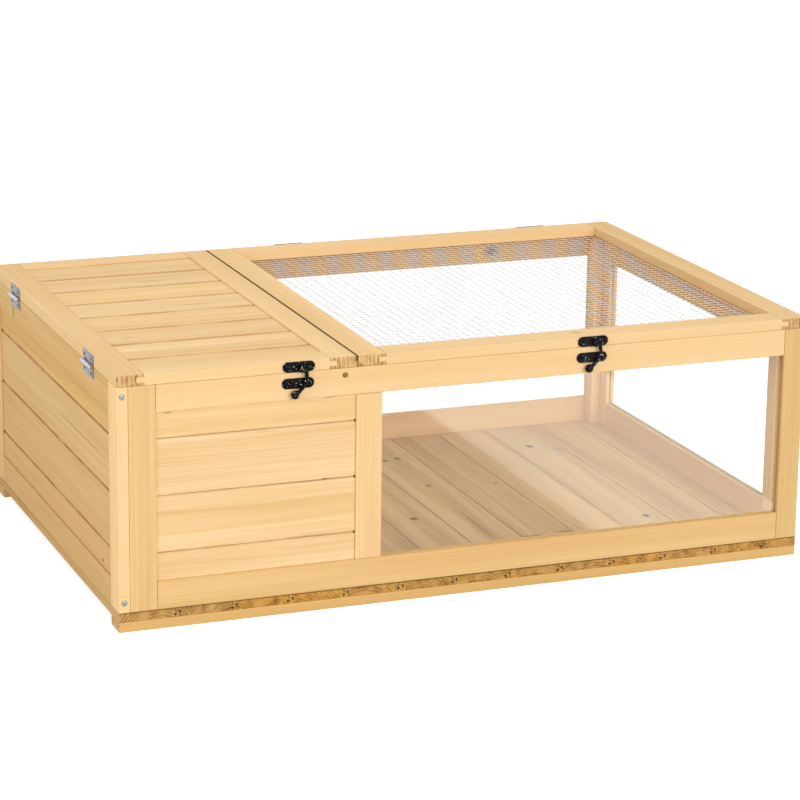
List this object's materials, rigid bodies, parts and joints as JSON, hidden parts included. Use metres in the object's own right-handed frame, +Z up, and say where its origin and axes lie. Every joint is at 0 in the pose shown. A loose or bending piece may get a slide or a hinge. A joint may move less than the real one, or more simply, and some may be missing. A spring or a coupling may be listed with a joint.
{
  "type": "reptile cage",
  "caption": "Low wooden tortoise house with a boarded sleeping room and a windowed run, under hinged lids of boards and wire mesh.",
  "frame": {"origin": "middle of the bounding box, on the ground under the battens", "axes": "+X to the right along the front, +Y from the front to the back, +Z up"},
  "size_m": [0.9136, 0.6172, 0.3182],
  "materials": {
    "fir": "smooth, clear-coated softwood",
    "acrylic": "clear and glossy",
    "zinc": "zinc-plated",
    "brass": "yellow zinc",
    "black_metal": "gloss black",
    "galvanised_wire": "galvanised"
  },
  "bodies": {
    "cage": {"back_right_corner_post": "fir", "back_wall_boards": "fir", "back_wall_bottom_rail": "fir", "back_wall_left_stile": "fir", "back_wall_middle_stile": "fir", "back_wall_pane": "acrylic", "back_wall_right_stile": "fir", "back_wall_top_rail": "fir", "base_back_batten": "fir", "base_front_batten": "fir", "divider_boards": "fir", "divider_door_post": "fir", "divider_screw": "brass", "divider_top_rail": "fir", "floor_boards": "fir", "front_right_corner_post": "fir", "front_wall_boards": "fir", "front_wall_bottom_rail": "fir", "front_wall_left_stile": "fir", "front_wall_middle_stile": "fir", "front_wall_pane": "acrylic", "front_wall_right_stile": "fir", "front_wall_top_rail": "fir", "left_latch_catch_plate": "black_metal", "left_lid_back_hinge_wall_leaf": "zinc", "left_lid_front_hinge_wall_leaf": "zinc", "left_wall_back_stile": "fir", "left_wall_boards": "fir", "left_wall_bottom_rail": "fir", "left_wall_front_stile": "fir", "left_wall_lower_screw": "zinc", "left_wall_top_rail": "fir", "left_wall_upper_screw": "zinc", "mesh_lid_left_hinge_wall_leaf": "zinc", "mesh_lid_right_hinge_wall_leaf": "zinc", "right_latch_catch_plate": "black_metal", "right_wall_back_stile": "fir", "right_wall_bottom_rail": "fir", "right_wall_front_stile": "fir", "right_wall_pane": "acrylic", "right_wall_top_rail": "fir"},
    "left_latch_arm": {"left_latch_arm": "black_metal"},
    "left_lid": {"left_latch_lid_plate": "black_metal", "left_lid_back_hinge_lid_leaf": "zinc", "left_lid_back_rail": "fir", "left_lid_boards": "fir", "left_lid_front_hinge_lid_leaf": "zinc", "left_lid_front_rail": "fir", "left_lid_hinge_stile": "fir", "left_lid_meeting_stile": "fir"},
    "mesh_lid": {"mesh_lid_back_rail": "fir", "mesh_lid_front_rail": "fir", "mesh_lid_left_hinge_lid_leaf": "zinc", "mesh_lid_meeting_stile": "fir", "mesh_lid_right_hinge_lid_leaf": "zinc", "mesh_lid_right_stile": "fir", "right_latch_lid_plate": "black_metal", "wire_mesh": "galvanised_wire"},
    "right_latch_arm": {"right_latch_arm": "black_metal"}
  },
  "joints": [
    {"name": "left_lid_hinge", "type": "hinge", "parent": "cage", "child": "left_lid", "pos_m": [-0.45415, 0.0016, 0.30365], "axis": [0, -1, 0], "range_deg": [0, 180]},
    {"name": "mesh_lid_hinge", "type": "hinge", "parent": "cage", "child": "mesh_lid", "pos_m": [0.15325, 0.306, 0.30365], "axis": [-1, 0, 0], "range_deg": [0, 180]},
    {"name": "left_latch_swing", "type": "hinge", "parent": "left_lid", "child": "left_latch_arm", "pos_m": [-0.22325, -0.3044, 0.308], "axis": [0, -1, 0], "range_deg": [0, 95]},
    {"name": "right_latch_swing", "type": "hinge", "parent": "mesh_lid", "child": "right_latch_arm", "pos_m": [0.16175, -0.3044, 0.308], "axis": [0, -1, 0], "range_deg": [0, 95]}
  ]
}
